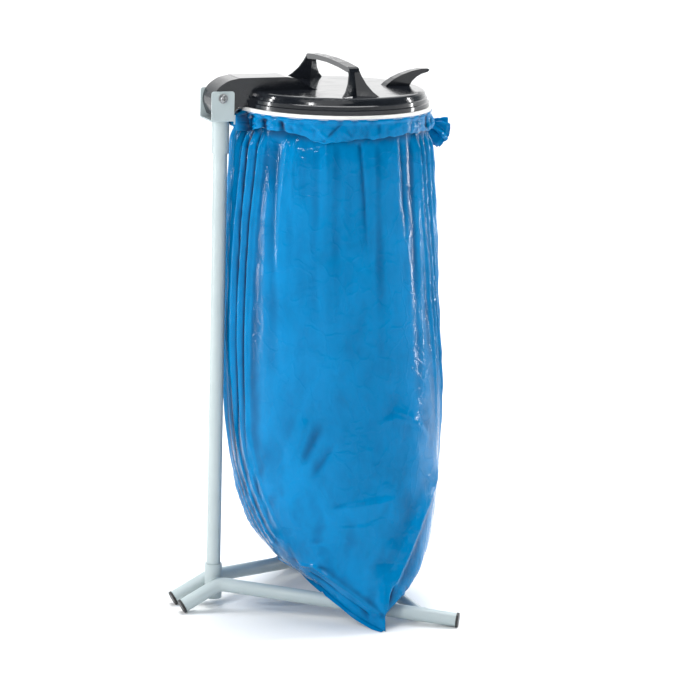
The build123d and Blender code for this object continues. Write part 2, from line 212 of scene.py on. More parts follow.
def film_blue():
    m, t, p = new_material("film_blue_polythene")
    v = coords(t)
    blotch = noise_tex(t, v, 7.0, 5.0, 0.62, 0.6)
    cloud = noise_tex(t, coords(t, (1.0, 1.0, 0.55)), 24.0, 6.0, 0.7, 0.8)
    mix = math_node(t, "ADD", math_node(t, "MULTIPLY", blotch, 0.65), math_node(t, "MULTIPLY", cloud, 0.35))
    base = ramp(t, mix, [(0.30, (0.000, 0.138, 0.325)), (0.45, (0.000, 0.172, 0.412)), (0.62, (0.000, 0.203, 0.478)),
                         (0.80, (0.000, 0.234, 0.530))])
    # painted shade and painted highlight: the film's colour is darkened in the fold valleys, under the cuff and along
    # the pleated post side, and lightened a little on the ridges, standing for the shade and light of the folds; the
    # doubled film in the folds is darker as well
    at = t.nodes.new("ShaderNodeAttribute")
    at.attribute_type = "GEOMETRY"
    at.attribute_name = "painted_fold_shading"
    # painted light: ridges a little lighter, valleys darker down to near black
    dark = ramp(t, maprange(t, at.outputs["Fac"], -0.6, 1.0, 0.0, 1.0),
                [(0.0, (1.0, 1.12, 1.12)), (0.375, (1.0, 1.0, 1.0)), (0.62, (0.44, 0.53, 0.58)), (1.0, (0.04, 0.08, 0.12))])
    mul = t.nodes.new("ShaderNodeMix")
    mul.data_type = "RGBA"
    mul.blend_type = "MULTIPLY"
    mul.inputs[0].default_value = 1.0
    t.links.new(base, mul.inputs[6])
    t.links.new(dark, mul.inputs[7])
    t.links.new(mul.outputs[2], p.inputs["Base Color"])
    t.links.new(maprange(t, cloud, 0.3, 0.75, 0.07, 0.16), p.inputs["Roughness"])
    # creases of thin film: long ones down the sack, short random ones over it
    crease_v = coords(t, (1.0, 1.0, 0.22))
    long_c = noise_tex(t, crease_v, 38.0, 4.0, 0.55, 1.2)
    vor = t.nodes.new("ShaderNodeTexVoronoi")
    vor.feature = "DISTANCE_TO_EDGE"
    vor.inputs["Scale"].default_value = 26.0
    mixv = t.nodes.new("ShaderNodeVectorMath")
    mixv.operation = "ADD"
    wob = t.nodes.new("ShaderNodeTexNoise")
    wob.inputs["Scale"].default_value = 12.0
    wob.inputs["Detail"].default_value = 3.0
    t.links.new(v, wob.inputs["Vector"])
    sc = t.nodes.new("ShaderNodeVectorMath")
    sc.operation = "SCALE"
    sc.inputs["Scale"].default_value = 0.10
    t.links.new(wob.outputs["Color"], sc.inputs[0])
    t.links.new(coords(t, (1.0, 1.0, 0.6), (0.3, 0.2, 0.4)), mixv.inputs[0])
    t.links.new(sc.outputs[0], mixv.inputs[1])
    t.links.new(mixv.outputs[0], vor.inputs["Vector"])
    crack = maprange(t, vor.outputs["Distance"], 0.0, 0.09, 1.0, 0.0)
    fine = noise_tex(t, v, 150.0, 5.0, 0.62, 0.5)
    n1 = bump(t, long_c, 0.16, 0.0030)
    n2 = bump(t, crack, 0.30, 0.0009, n1)
    t.links.new(bump(t, fine, 0.22, 0.0006, n2), p.inputs["Normal"])
    p.inputs["IOR"].default_value = 1.45
    p.inputs["Specular IOR Level"].default_value = 0.12
    return m


MAT = {"powder_coat": powder_coat(), "lid_black": lid_black(), "cap_black": cap_black(),
       "clamp_white": clamp_white(), "zinc": zinc(), "film_blue": film_blue()}
slot_of = {s["node"]: s["material_slot"] for s in frame["record"]["subparts"]}
for name, o in nodes.items():
    o.data.materials.clear()
    o.data.materials.append(MAT[slot_of[name]])

# ---------------------------------------------------------------- the sack: film shape, in millimetres
# from the post's axis and the floor
SECT = np.array([
    (1010.8, 232.7, 186.4, 186.4), (972.0, 232.7, 186.4, 186.4), (930.0, 233.0, 190.5, 191.0),
    (800.0, 234.5, 199.0, 199.0), (700.0, 237.5, 204.0, 206.0), (600.0, 241.0, 208.0, 213.0),
    (500.0, 245.5, 211.0, 220.0), (400.0, 250.0, 212.0, 227.0), (310.0, 254.0, 208.0, 234.0),
    (230.0, 260.0, 197.0, 240.0), (165.0, 267.0, 180.0, 245.0), (115.0, 274.0, 157.0, 247.0)])[::-1]
Z_LOW = 165.0


def pchip(xk, yk, x):
    """Monotone cubic through the points, along the first axis of yk."""
    xk, yk, x = np.asarray(xk, float), np.asarray(yk, float), np.asarray(x, float)
    h = np.diff(xk)
    d = (yk[1:] - yk[:-1]) / h.reshape((-1,) + (1,) * (yk.ndim - 1))
    m = np.zeros_like(yk)
    w1 = (2 * h[1:] + h[:-1]).reshape((-1,) + (1,) * (yk.ndim - 1))
    w2 = (h[1:] + 2 * h[:-1]).reshape((-1,) + (1,) * (yk.ndim - 1))
    same = d[1:] * d[:-1] > 0
    with np.errstate(divide="ignore", invalid="ignore"):
        mid = (w1 + w2) / (w1 / d[:-1] + w2 / d[1:])
    m[1:-1] = np.where(same, mid, 0.0)
    m[0], m[-1] = d[0], d[-1]
    k = np.clip(np.searchsorted(xk, x) - 1, 0, len(xk) - 2)
    t = ((x - xk[k]) / h[k]).reshape(x.shape + (1,) * (yk.ndim - 1))
    hh = h[k].reshape(x.shape + (1,) * (yk.ndim - 1))
    return ((2 * t**3 - 3 * t**2 + 1) * yk[k] + (t**3 - 2 * t**2 + t) * hh * m[k]
            + (-2 * t**3 + 3 * t**2) * yk[k + 1] + (t**3 - t**2) * hh * m[k + 1])


def section(z):
    return pchip(SECT[:, 0], SECT[:, 1:], z)


# bottom seam, from the near corner to the middle
SEAM = np.array([(268, -272, 1.8), (250, -237, 8), (229, -207, 20), (207, -181, 38), (191, -136, 53),
                 (187, -60, 60), (190, 0, 61)], float)


def seam_point(theta):
    """theta 0 at the near corner, 180 at the far one."""
    th = np.asarray(theta, float)
    a = np.minimum(th, 180 - th) / 90.0
    seg = np.r_[0, np.cumsum(np.linalg.norm(np.diff(SEAM, axis=0), axis=1))]
    p = pchip(seg / seg[-1], SEAM, a)
    p[..., 1] = np.where(th > 90, -p[..., 1], p[..., 1])
    return p


TH_K = np.array([0, 20, 40, 60, 90], float)
B2_R = np.array([(268, -270, 45), (336, -253, 36), (372, -226, 50), (362, -150, 53), (345, 0, 50)], float)
B2_L = np.array([(268, -270, 45), (228, -230, 62), (180, -192, 84), (158, -110, 76), (148, 0, 74)], float)


def b2_point(theta, right):
    th = np.asarray(theta, float)
    a = np.minimum(th, 180 - th)
    p = pchip(TH_K, B2_R if right else B2_L, a)
    p[..., 1] = np.where(th > 90, -p[..., 1], p[..., 1])
    return p


def base_grid(n_cols, n_up, n_low, z_top=1004.0):
    """rows from the hoop down to the seam; columns round the sack, from the near corner rib leftwards."""
    k = np.arange(n_cols)
    phi = -90.0 - 360.0 * k / n_cols          # leftwards from the near corner
    theta = 360.0 * k / n_cols
    left = theta <= 180
    th = np.where(left, theta, 360 - theta)
    rad = np.radians(phi)
    z = np.linspace(z_top, Z_LOW, n_up)
    s = section(z)
    P = np.zeros((n_up + n_low, n_cols, 3))
    P[:n_up, :, 0] = s[:, 0:1] + s[:, 1:2] * np.cos(rad)
    P[:n_up, :, 1] = s[:, 2:3] * np.sin(rad)
    P[:n_up, :, 2] = z[:, None]
    b0 = P[n_up - 1]
    s0, s1 = section(np.array([Z_LOW - 6.0]))[0], section(np.array([Z_LOW]))[0]
    under = np.stack([s0[0] + s0[1] * np.cos(rad), s0[2] * np.sin(rad), np.full(n_cols, Z_LOW - 6.0)], 1)
    tan = under - b0
    tan /= np.linalg.norm(tan, axis=1)[:, None]
    reach = np.where(left, 58.0, 66.0)
    b1 = b0 + tan * reach[:, None]
    b2 = np.where(left[:, None], b2_point(th, False), b2_point(th, True))
    b3 = seam_point(th)
    w = (np.arange(1, n_low + 1) / n_low)[:, None, None]
    P[n_up:] = (1 - w)**3 * b0 + 3 * (1 - w)**2 * w * b1 + 3 * (1 - w) * w**2 * b2 + w**3 * b3
    return phi, th, P


LEG_A, LEG_B = np.array([3.0, 30.3, 53.3]), np.array([417.7, 274.0, 14.0])


def clear_legs(P, r=16.2):
    """Lift the film off the two long legs."""
    for side in (-1, 1):
        a, b = LEG_A * (1, side, 1), LEG_B * (1, side, 1)
        ab = b - a
        t = np.clip(((P - a) @ ab) / (ab @ ab), 0, 1)
        near = a + t[..., None] * ab
        d = P - near
        dist = np.linalg.norm(d, axis=-1)
        hit = dist < r
        dirn = d / np.maximum(dist, 1e-6)[..., None]
        P = np.where(hit[..., None], near + dirn * r, P)
    P[..., 2] = np.maximum(P[..., 2], 0.9)
    return P


def smooth01(x, a, b):
    t = np.clip((x - a) / (b - a), 0, 1)
    return t * t * (3 - 2 * t)


class Noise:
    """Seeded 3-D gradient noise on arrays."""

    def __init__(self, seed):
        rng = np.random.default_rng(seed)
        self.p = np.tile(rng.permutation(256), 2)
        g = rng.normal(size=(256, 3))
        self.g = g / np.linalg.norm(g, axis=1)[:, None]

    def __call__(self, P, freq):
        q = P * freq
        i = np.floor(q).astype(int)
        f = q - i
        i &= 255
        u = f * f * f * (f * (f * 6 - 15) + 10)
        out = 0.0
        for dx in (0, 1):
            for dy in (0, 1):
                for dz in (0, 1):
                    h = self.p[self.p[self.p[(i[..., 0] + dx) & 255] + ((i[..., 1] + dy) & 255)] + ((i[..., 2] + dz) & 255)]
                    gr = self.g[h]
                    dot = gr[..., 0] * (f[..., 0] - dx) + gr[..., 1] * (f[..., 1] - dy) + gr[..., 2] * (f[..., 2] - dz)
                    wt = ((u[..., 0] if dx else 1 - u[..., 0]) * (u[..., 1] if dy else 1 - u[..., 1])
                          * (u[..., 2] if dz else 1 - u[..., 2]))
                    out = out + wt * dot
        return out


NZ = [Noise(k) for k in (3, 17, 29, 41, 57)]


def crinkle(P, scale, seed=5, n=7):
    """Straight creases in many directions, each only in its own patches: crumpled film, about -1 to 1."""
    rng = np.random.default_rng(seed)
    warp = np.stack([NZ[0](P, 0.6 / scale), NZ[1](P, 0.6 / scale), NZ[2](P, 0.6 / scale)], -1) * scale * 0.9
    Q = P + warp
    out = np.zeros(P.shape[:-1])
    for k in range(n):
        d = rng.normal(size=3)
        d /= np.linalg.norm(d)
        t = (Q @ d) / (scale * rng.uniform(0.7, 1.5)) + rng.uniform(0, 1)
        tri = 2 * np.abs(2 * (t - np.floor(t + 0.5))) - 1
        mask = smooth01(NZ[k % 5](P + 31.0 * k, 0.55 / scale), -0.05, 0.35)
        out += tri * mask
    return out / 2.2


def fold(X, S, pts, h, w1, w2=None, ends=(30.0, 60.0), power=1.0):
    """A crease along a line: cusp height h, falling off over w1 on its left side and w2 on its right."""
    w2 = w2 or w1
    pts = np.array([(math.radians(a) * 205.0, b) for a, b in pts])
    seg = np.linalg.norm(np.diff(pts, axis=0), axis=1)
    cum = np.r_[0, np.cumsum(seg)]
    best = np.full(X.shape, 1e9)
    sgn = np.ones(X.shape)
    along = np.zeros(X.shape)
    for k in range(len(seg)):
        a, b = pts[k], pts[k + 1]
        d = (b - a) / seg[k]
        t = np.clip((X - a[0]) * d[0] + (S - a[1]) * d[1], 0, seg[k])
        ex, ey = X - a[0] - t * d[0], S - a[1] - t * d[1]
        dist = np.hypot(ex, ey)
        hit = dist < best
        best = np.where(hit, dist, best)
        sgn = np.where(hit, np.sign(d[0] * ey - d[1] * ex), sgn)
        along = np.where(hit, cum[k] + t, along)
    w = np.where(sgn > 0, w1, w2)
    env = smooth01(along, -1.0, ends[0]) * (1 - smooth01(along, cum[-1] - ends[1], cum[-1] + 1.0))
    return h * np.exp(-(best / w) ** power) * env


def film_body(n_cols=440, n_up=230, n_low=80):
    phi, th, P = base_grid(n_cols, n_up, n_low)
    P = clear_legs(P)
    S = np.r_[np.zeros((1, n_cols)), np.cumsum(np.linalg.norm(np.diff(P, axis=0), axis=2), axis=0)]
    tc = -90.0 - phi
    ts = (tc + 180.0) % 360.0 - 180.0            # near corner 0, left side positive, right side negative
    X = np.broadcast_to(np.radians(ts) * 205.0, S.shape)
    du = np.roll(P, -1, 1) - np.roll(P, 1, 1)
    dv = np.gradient(P, axis=0)
    N = np.cross(du, dv)
    N /= np.maximum(np.linalg.norm(N, axis=2), 1e-9)[..., None]
    mid = P[:, :, :].mean(axis=1, keepdims=True)
    if (((P - mid) * N).sum(-1)[: n_up]).mean() < 0:
        N = -N
    D = np.zeros(S.shape)
    V = np.zeros(S.shape)
    T = np.broadcast_to(ts, S.shape)
    # soft gathers that hang from the hoop and die out downwards
    hang = smooth01(S, 15, 70) * (1 - smooth01(S, 120, 620))
    gat = (0.9 * np.sin(np.radians(T) * 17 + 0.6 + 0.0015 * S) + 0.7 * np.sin(np.radians(T) * 29 + 2.1)
           + 0.5 * np.sin(np.radians(T) * 41 + 4.0 - 0.002 * S))
    amp = 0.7 + 1.6 * smooth01(np.abs(T - 20), 38, 75)
    D += hang * gat * amp
    # pleats fanning from under the cuff at the post side
    for a0, a1, h, w1, w2, s1 in ((65, 74.5, 13.0, 5.0, 17, 760), (72.5, 80, 12.0, 4.5, 15, 700), (80, 86.5, 13.5, 5, 16, 780),
                                  (87.5, 93, 12.0, 4.5, 14, 760), (95, 100, 13.0, 5, 15, 860), (103, 107, 11.0, 5, 14, 800),
                                  (112, 114, 11.0, 6, 15, 760), (123, 122, 10.0, 6, 16, 650),
                                  (135, 131, 8.0, 6, 16, 560), (148, 143, 9.0, 6, 15, 620), (163, 158, 8.0, 6, 16, 520),
                                  (177, 172, 8.0, 6, 16, 600)):
        mids = [(a0, 14), (a0 * 0.5 + a1 * 0.5 + 0.8, s1 * 0.42), (a1, s1)]
        D += fold(X, S, mids, h, w1, w2, (55.0, s1 * 0.45))
        D += fold(X, S, [(q + 2.6, r) for q, r in mids], -0.75 * h, 3.0, 4.5, (40.0, s1 * 0.5))
        # painted shade: a dark line along each pleat's valley, used only for the film's colour
        V = np.maximum(V, fold(X, S, [(q + 2.9, r) for q, r in mids], 1.0, 2.6, 4.0, (30.0, s1 * 0.35)))
    # pleats at the side away from the post
    for a0, a1, h, w1, w2, s1 in ((-38, -54, 9.0, 12, 4.5, 700), (-46, -58, 8.0, 10, 4.0, 620), (-54, -63, 10.0, 12, 4.5, 760),
                                  (-62, -69, 9.0, 12, 5, 660), (-71, -73, 10.0, 12, 5, 600), (-81, -81, 9.0, 13, 5, 640),
                                  (-93, -91, 8.0, 14, 6, 560), (-106, -103, 8.0, 14, 6, 620), (-121, -117, 8.0, 14, 6, 540),
                                  (-139, -134, 8.0, 14, 6, 600), (-157, -152, 8.0, 14, 6, 560)):
        mids = [(a0, 14), ((a0 + a1) / 2, s1 * 0.5), (a1, s1)]
        D += fold(X, S, mids, h, w1, w2, (55.0, s1 * 0.4))
        D += fold(X, S, [(q - 2.4, r) for q, r in mids], -0.6 * h, 4.5, 3.0, (40.0, s1 * 0.5))
    # the few creases on the broad front
    D += fold(X, S, [(3.8, 30), (1.0, 150), (-1.5, 330)], -3.6, 3.2, 9.0, (20.0, 200.0))
    D += fold(X, S, [(42, 30), (43.6, 99), (43.4, 190)], 3.4, 3.0, 6.0, (20.0, 60.0))
    D += fold(X, S, [(47, 30), (50, 160), (52, 330)], 3.0, 6.0, 4.0, (20.0, 160.0))
    D += fold(X, S, [(-24, 30), (-25, 130), (-27, 300)], -2.6, 8.0, 3.5, (20.0, 170.0))
    D += fold(X, S, [(24, 30), (23, 90), (22, 190)], 2.4, 5.0, 8.0, (20.0, 110.0))
    D += fold(X, S, [(26.5, 585), (33, 630), (42, 690)], -2.6, 9.0, 16.0, (45.0, 45.0), 1.4)
    D += fold(X, S, [(20, 622), (27, 662), (37, 710)], -2.4, 8.0, 15.0, (40.0, 45.0), 1.4)
    D += fold(X, S, [(34, 575), (41, 640), (50, 700)], 4.0, 10.0, 14.0, (40.0, 45.0), 1.4)
    D += fold(X, S, [(31, 772), (18, 757), (4, 751), (-14, 744)], 3.4, 3.2, 18.0, (60.0, 60.0))
    D += fold(X, S, [(34, 806), (15, 800), (0, 790)], 1.8, 3.5, 14.0, (50.0, 50.0))
    D += fold(X, S, [(52, 860), (36, 840), (18, 826)], 2.6, 5.0, 9.0, (40.0, 40.0))
    D += fold(X, S, [(2, 600), (-14, 585), (-32, 612), (-44, 650)], 2.4, 5.0, 20.0, (60.0, 60.0))
    D += fold(X, S, [(-10, 565), (-24, 590), (-38, 640)], 3.0, 12.0, 5.0, (50.0, 50.0))
    # the long ridge down to the near corner, and its twin at the far one
    D += fold(X, S, [(-60, 690), (-42, 754), (-31, 799), (-22, 846), (-12, 895), (-2.5, 940), (-0.5, 985)],
              9.5, 7.0, 26.0, (70.0, 35.0))
    D += fold(X, S, [(-9, 905), (-5.5, 935), (-4.5, 985)], -8.0, 5.0, 7.0, (25.0, 25.0))
    far = np.where(X > 0, X - math.pi * 205.0, X + math.pi * 205.0)
    D += fold(far, S, [(58, 700), (42, 760), (28, 812), (14, 880), (3, 940), (1, 985)], 8.5, 24.0, 7.0, (70.0, 35.0))
    D += fold(far, S, [(-58, 860), (-40, 905), (-20, 950), (-3, 982)], 5.0, 4.0, 9.0, (40.0, 25.0))
    # creases along the bottom edge towards the near corner
    D += fold(X, S, [(62, 905), (47, 897), (32, 926), (16, 953), (3, 978)], 8.5, 3.2, 10.0, (25.0, 15.0))
    D += fold(X, S, [(56, 922), (41, 943), (26, 966), (11, 986)], -6.0, 3.5, 6.0, (20.0, 20.0))
    # narrow creases gathered at the lower post side
    for a0, s0, a1, s1, h in ((86, 640, 74, 900, 4.0), (92, 650, 80, 900, 4.5), (98, 660, 86, 905, 4.5), (104, 690, 93, 905, 4.0),
                              (81, 600, 68, 880, 3.5), (110, 700, 101, 905, 4.0), (76, 560, 62, 850, 3.0)):
        D += fold(X, S, [(a0, s0), ((a0 + a1) / 2 + 1.0, (s0 + s1) / 2), (a1, s1)], h, 4.0, 8.0, (90.0, 60.0))
    # loose film: slow swell, then crumple that grows towards the bottom and the sides
    fade = smooth01(S, 20, 90)
    D += fade * 3.0 * NZ[0](P * np.array([1, 1, 0.55]), 0.010)
    D += fade * 1.4 * NZ[1](P * np.array([1, 1, 0.6]), 0.024)
    low = smooth01(S, 560, 900)
    D += fade * (0.30 + 1.1 * low) * crinkle(P, 62.0, 11)
    D += fade * (0.10 + 0.50 * low) * crinkle(P, 24.0, 23)
    star = np.exp(-(((T + 26) / 9.0) ** 2 + ((S - 955) / 26.0) ** 2))
    D += star * 3.6 * crinkle(P, 16.0, 37)
    under = smooth01(S, 930, 1010)
    D += under * 3.0 * crinkle(P, 30.0, 51)
    D *= 1 - 0.85 * smooth01(S, np.max(S, axis=0)[None] - 26, np.max(S, axis=0)[None])
    # painted shade for the film's colour, worked out from the fold shape
    soft = D.copy()
    for _ in range(3):
        soft = (soft + np.roll(soft, 3, 1) + np.roll(soft, -3, 1) + np.roll(soft, 6, 1) + np.roll(soft, -6, 1)) / 5
    side = smooth01(np.abs(T), 56, 78)
    # painted shade: valleys darker and ridges lighter than their neighbourhood, the pleated post side darker overall
    shade = np.clip((soft - D) / (4.5 - 1.9 * side) + 0.16 * smooth01(T, 62, 90), -0.6, 1.0)
    shade *= smooth01(S, 8, 40)
    # painted shade along the pleat valley lines
    shade = np.maximum(shade, 0.80 * np.clip(V, 0, 1))
    # painted shadow in a band just below the cuff
    shade = np.maximum(shade, 0.70 * np.exp(-((S - 26) / 15.0) ** 2) * (P[..., 2] < 975 + 22))
    P = P + N * D[..., None]
    # inside the hoop the film cannot pass the band
    r = np.hypot(P[..., 0] - 232.7, P[..., 1])
    cap = np.where(P[..., 2] > 979, 186.3, 1e9)
    k = np.minimum(1.0, cap / np.maximum(r, 1e-6))
    P[..., 0] = 232.7 + (P[..., 0] - 232.7) * k
    P[..., 1] *= k
    P[..., 1] = np.clip(P[..., 1], -284, 284)
    P = clear_legs(P)
    return phi, P, shade


EDGE_PHI = np.array([-192, -183.3, -173.8, -168.1, -155.0, -141.7, -129.0, -124.2, -119.6, -112.7, -105.9, -99.0, -88.3, -75.1,
                     -64.4, -48.0, -33.6, -12, 8, 30, 60, 85, 110, 135, 158])
EDGE_Z = np.array([972, 982, 976, 969.4, 980.9, 979.8, 977.5, 969.0, 963.8, 961.8, 964.2, 969.1, 970.4, 972.1,
                   975.2, 973.4, 973.3, 966, 972, 976, 968, 975, 970, 977, 974])


def film_cuff(phi, n_rows=30):
    """Rows from the free edge of the turned-down mouth up over the hoop to the body's first row."""
    ph = (phi + 192.0) % 360.0 - 192.0
    k = np.r_[EDGE_PHI, EDGE_PHI[0] + 360.0]
    edge = np.interp(ph, k, np.r_[EDGE_Z, EDGE_Z[0]])
    edge = (edge + np.roll(edge, 1) + np.roll(edge, -1)) / 3
    edge = edge + 1.3 * np.sin(np.radians(ph) * 23 + 1.0) + 0.9 * np.sin(np.radians(ph) * 51)
    rad = np.radians(ph)
    top = 1009.8
    v = np.linspace(0, 1, n_rows)[:, None]
    Z = edge[None] * (1 - v) + 1007.5 * v
    free = 1 - v                                 # 1 at the free edge
    turn = np.abs((ph + 180.0 + 180.0) % 360.0 - 180.0)[None]     # degrees from the post side
    left = np.exp(-((ph[None] + 176.0) / 25.0) ** 2)
    right = np.exp(-((ph[None] + 22.0) / 20.0) ** 2)
    calm = 0.16 + 0.84 * np.clip(left + right + 0.35 * smooth01(np.abs(ph[None] + 105), 95, 130), 0, 1)
    R = 192.3 + 0 * Z
    R += (free ** 0.8) * 2.4 * (1 + 0.5 * np.sin(rad * 9 + 0.8)[None])
    P0 = np.stack([232.7 + 193 * np.cos(rad)[None] + 0 * Z, 193 * np.sin(rad)[None] + 0 * Z, Z], -1)
    body = np.sin(np.pi * np.clip(v, 0, 1)) ** 0.7 * 0.6 + free * 0.5
    R += calm * body * (7.5 * crinkle(P0, 17.0, 71) + 5.0 * np.abs(crinkle(P0 * np.array([1, 1, 0.4]), 10.0, 83)))
    R += calm * body * 2.2 * (1 + np.sin(rad * 47 + 3.0 * np.sin(rad * 5))[None])
    R += left * body * 3.2 * crinkle(P0, 8.0, 97)
    # slack bulge where the mouth is turned down
    R += 2.0 * np.sin(np.pi * v) * (0.6 + 0.4 * np.sin(rad * 6 + 1.3)[None])
    # deep folds beside the post, and a fold at the gathered side
    for a, h, w, lean in ((-171.5, 4.0, 2.0, 1.0), (-158.5, 5.0, 2.0, -3.0), (-152.0, -5.0, 1.7, 2.5),
                          (-146.5, 4.0, 1.9, -2.0), (-139.0, -3.5, 1.6, 3.0), (-27.0, 5.0, 2.0, 3.0), (-38.0, -4.0, 1.8, 2.0)):
        R += h * body * np.exp(-np.abs((ph[None] + lean * v - a) / w))
    R += -2.8 * body * np.exp(-np.abs((ph[None] + 111.0 - 14 * (v - 0.4)) / 1.6)) * (v > 0.1)
    R += 2.4 * body * np.exp(-np.abs((ph[None] + 116.0 + 16 * (v - 0.4)) / 1.8))
    R = np.maximum(R, 191.3)
    puff = np.exp(-((Z - 1004.5) / 4.5) ** 2)
    R = R * (1 - puff) + np.maximum(R, 197.6 + 0.9 * np.sin(rad * 31 + 2 * np.sin(rad * 7))[None]) * puff
    # round the two hoop bars beside the head bracket
    off = np.radians(turn)
    box_r = 215.0 / np.maximum(np.cos(off), 0.2)
    wide = 1 - smooth01(turn, 11.5, 17.0)
    tall = 1 - smooth01(Z, 999.5, 1007.5)
    want = np.minimum(box_r, 222.0) - 1.2 * np.abs(crinkle(P0, 14.0, 91)) * 1.0
    want = want + smooth01(turn, 10.8, 12.5) * (5.0 * crinkle(P0, 9.0, 101) - 3.0)
    R = R + np.clip(want - R, 0, None) * wide * tall
    lap = np.exp(-np.abs((ph[None] + 2.0 * v + 165.6) / 1.6)) * smooth01(turn, 11.4, 12.6) * np.sin(np.pi * np.clip(0.12 + 0.88 * v, 0, 1)) ** 0.4
    R = np.where(turn > 11.4, np.maximum(R - 20.0 * lap, 192.0), R)
    Z = np.where(wide > 0.01, np.minimum(Z, 1007.5 - wide * (0.0 + 4.5 * smooth01(v, 0.55, 1.0) * tall)), Z)
    rows = np.stack([232.7 + R * np.cos(rad)[None], R * np.sin(rad)[None], Z], -1)
    # painted shade for the cuff's colour: fold valleys darker, ridges lighter
    soft = R.copy()
    for _ in range(3):
        soft = (soft + np.roll(soft, 2, 1) + np.roll(soft, -2, 1) + np.roll(soft, 4, 1) + np.roll(soft, -4, 1)) / 5
    shade = np.clip((soft - R) / 2.6, -0.6, 1.0) * (1 - wide)
    # painted shade: the lap fold beside the post made near black
    shade = np.maximum(shade, 1.0 * np.exp(-((ph[None] + 2.0 * v + 165.6) / 1.7) ** 2))
    over = []
    for rr, zz in ((197.0, 1008.3), (195.4, 1006.0), (193.4, 1005.9), (192.3, 1007.6), (191.4, 1009.2), (189.4, 1009.9),
                   (187.4, 1009.2), (186.6, 1007.2)):
        over.append(np.stack([232.7 + rr * np.cos(rad), rr * np.sin(rad), np.full(len(rad), zz)], -1))
    over = np.array(over)
    return np.concatenate([rows, over], axis=0), np.concatenate([shade, np.zeros(over.shape[:2])], axis=0)


def grid_mesh(name, P, wrap=True, join_bottom=False):
    """Quads over a grid of points in millimetres from the post's axis."""
    rows, cols = P.shape[:2]
    V = P.reshape(-1, 3) / 1000.0
    V = V + np.array([POST_X, 0, 0])
    faces = []
    idx = np.arange(rows * cols).reshape(rows, cols)
    a = idx[:-1, :]
    b = idx[1:, :]
    if wrap:
        q = np.stack([a, b, np.roll(b, -1, 1), np.roll(a, -1, 1)], -1).reshape(-1, 4)
    else:
        q = np.stack([a[:, :-1], b[:, :-1], b[:, 1:], a[:, 1:]], -1).reshape(-1, 4)
    me = bpy.data.meshes.new(name)
    me.from_pydata(V.tolist(), [], q.tolist())
    me.update()
    return me


def apply_all(o):
    """Leave the piece as plain mesh, with its modifiers applied."""
    dg = bpy.context.evaluated_depsgraph_get()
    ev = o.evaluated_get(dg)
    me = bpy.data.meshes.new_from_object(ev)
    old = o.data
    o.modifiers.clear()
    o.data = me
    bpy.data.meshes.remove(old)


def film_skirt(phi, n=150):
    """The strip of film below the bottom weld, from corner to corner."""
    th = np.linspace(1.5, 178.5, n)
    seam = seam_point(th)
    rng = np.random.default_rng(8)
    rows = []
    along = np.gradient(seam, axis=0)
    along /= np.linalg.norm(along, axis=1)[:, None]
    out = np.stack([np.full(n, -0.72), np.where(th < 90, -0.35, 0.35) * smooth01(np.abs(th - 90), 10, 60), np.full(n, -0.60)], -1)
    out -= (out * along).sum(1)[:, None] * along
    out /= np.linalg.norm(out, axis=1)[:, None]
    side = np.cross(along, out)
    for k in range(7):
        d = 9.0 * k / 6 * (0.9 + 0.1 * np.sin(th * 0.11 + 1.0))
        wob = (k / 6.0) * (1.0 * np.sin(th * 0.19) + 0.6 * np.sin(th * 0.43 + 1.0))
        rows.append(seam + out * d[:, None] + side * wob[:, None])
    P = np.array(rows)
    P = clear_legs(P, 15.2)
    P[..., 2] = np.maximum(P[..., 2], 0.9)
    return P


def film_tail(n_u=120, n_v=44):
    """The spare film of the mouth, gathered and folded into a crumpled tail."""
    root = np.array([424.5, -4.0, 975.0])
    tip = np.array([470.0, -6.0, 934.0])
    v = np.linspace(0, 1, n_v)[:, None]
    u = np.linspace(0, 1, n_u)[None]
    axis = (tip - root) / np.linalg.norm(tip - root)
    across = np.array([0.62, 0.0, 0.78])
    across -= across @ axis * axis
    across /= np.linalg.norm(across)
    depth = np.cross(axis, across)
    wide = 7.0 + 17.0 * smooth01(v, 0.05, 0.75) - 5.0 * smooth01(v, 0.8, 1.0)
    ang = u * 2 * np.pi
    pleat = 1 + 0.34 * np.sin(ang * 7 + 2.5 * v) * smooth01(v, 0.0, 0.4)
    A = wide * np.cos(ang) * pleat
    B = wide * 0.62 * np.sin(ang) * pleat
    bend = 10.0 * np.sin(v * 2.6)
    P = (root + axis * (v * np.linalg.norm(tip - root))[..., None] + across * (A + bend)[..., None]
         + depth * B[..., None])
    c = crinkle(P, 13.0, 7) * smooth01(v, 0.0, 0.3) * 3.6
    P = P + (across * np.cos(ang)[..., None] + depth * np.sin(ang)[..., None]) * c[..., None]
    r = np.hypot(P[..., 0] - 232.7, P[..., 1])
    keep = np.maximum(1.0, 192.5 / r)
    P[..., 0] = 232.7 + (P[..., 0] - 232.7) * keep
    P[..., 1] *= keep
    P[..., 0] = np.minimum(P[..., 0], 478.0)
    return P


